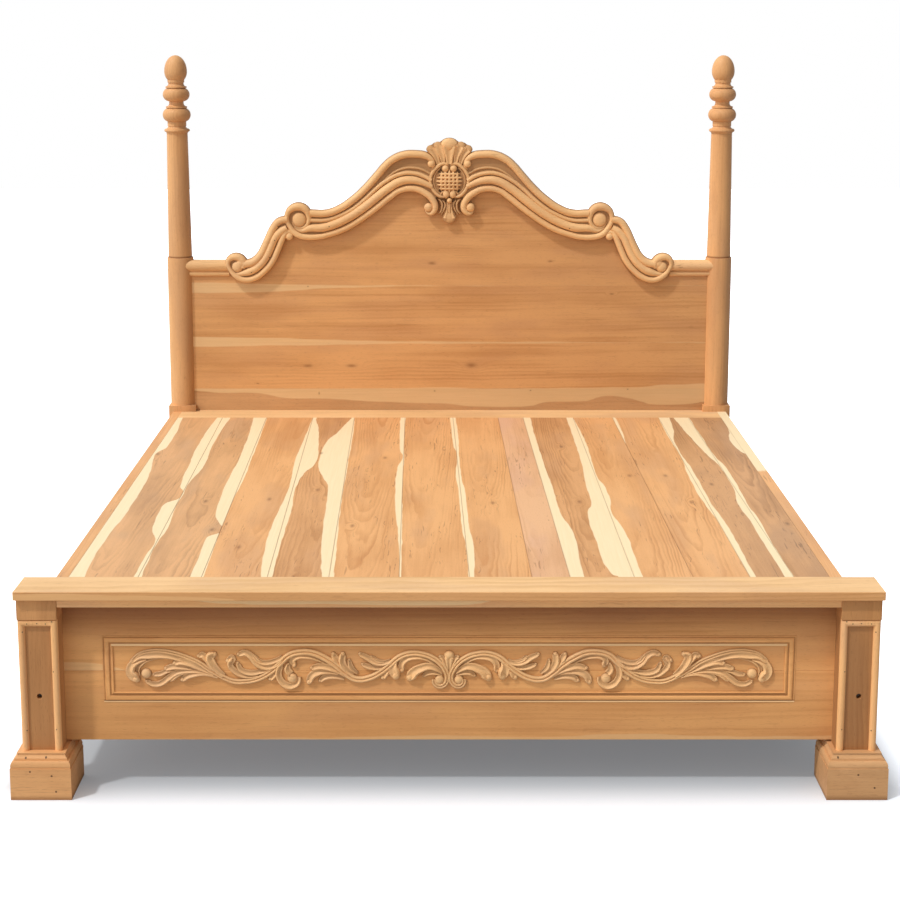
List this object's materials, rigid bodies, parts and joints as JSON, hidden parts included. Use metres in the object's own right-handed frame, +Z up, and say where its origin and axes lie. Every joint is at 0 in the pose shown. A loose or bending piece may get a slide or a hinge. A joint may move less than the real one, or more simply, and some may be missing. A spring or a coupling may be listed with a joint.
{
  "type": "poster bed",
  "caption": "Solid wood platform bed with a panelled and carved footboard, a plank deck, and a scroll-topped headboard between tall turned posts.",
  "frame": {"origin": "centre of the footprint on the floor", "axes": "+Z up, +X across the width, the foot end faces -Y and the headboard stands at +Y"},
  "size_m": [2.042, 2.2705, 1.674],
  "materials": {
    "post_wood": "satin",
    "plank_wood": "matte",
    "panel_wood": "satin",
    "trim_wood": "satin",
    "rail_wood": "satin",
    "steel": "brushed"
  },
  "bodies": {
    "root": {"head_post_left": "post_wood", "head_post_right": "post_wood", "upper_post_left": "post_wood", "upper_post_right": "post_wood", "finial_left": "post_wood", "finial_right": "post_wood", "head_board_1": "panel_wood", "head_board_2": "panel_wood", "head_board_3": "panel_wood", "head_board_4": "panel_wood", "head_board_5": "panel_wood", "head_bottom_rail": "rail_wood", "end_rail_left": "trim_wood", "end_rail_right": "trim_wood", "lower_scroll_left": "trim_wood", "lower_scroll_right": "trim_wood", "upper_scroll_left": "trim_wood", "upper_scroll_right": "trim_wood", "cartouche": "trim_wood", "foot_post_left": "post_wood", "foot_post_right": "post_wood", "plinth_left": "post_wood", "plinth_right": "post_wood", "post_beads_left": "trim_wood", "post_beads_right": "trim_wood", "cap_rail": "rail_wood", "frieze_strip": "rail_wood", "foot_panel_upper": "panel_wood", "foot_panel_lower": "panel_wood", "panel_moulding": "trim_wood", "foot_carving": "trim_wood", "side_rail_left": "rail_wood", "side_rail_right": "rail_wood", "ledger_left": "rail_wood", "ledger_right": "rail_wood", "plank_01": "plank_wood", "plank_02": "plank_wood", "plank_03": "plank_wood", "plank_04": "plank_wood", "plank_05": "plank_wood", "plank_06": "plank_wood", "plank_07": "plank_wood", "plank_08": "plank_wood", "plank_09": "plank_wood", "plank_10": "plank_wood", "plank_11": "plank_wood", "plank_12": "plank_wood", "plank_13": "plank_wood", "head_strip": "rail_wood", "bearer_1": "rail_wood", "bearer_2": "rail_wood", "bearer_3": "rail_wood", "bearer_4": "rail_wood", "bearer_5": "rail_wood", "centre_beam": "rail_wood", "centre_leg_front": "rail_wood", "centre_leg_back": "rail_wood", "bed_bolts": "steel", "barrel_nuts": "steel"}
  },
  "joints": []
}
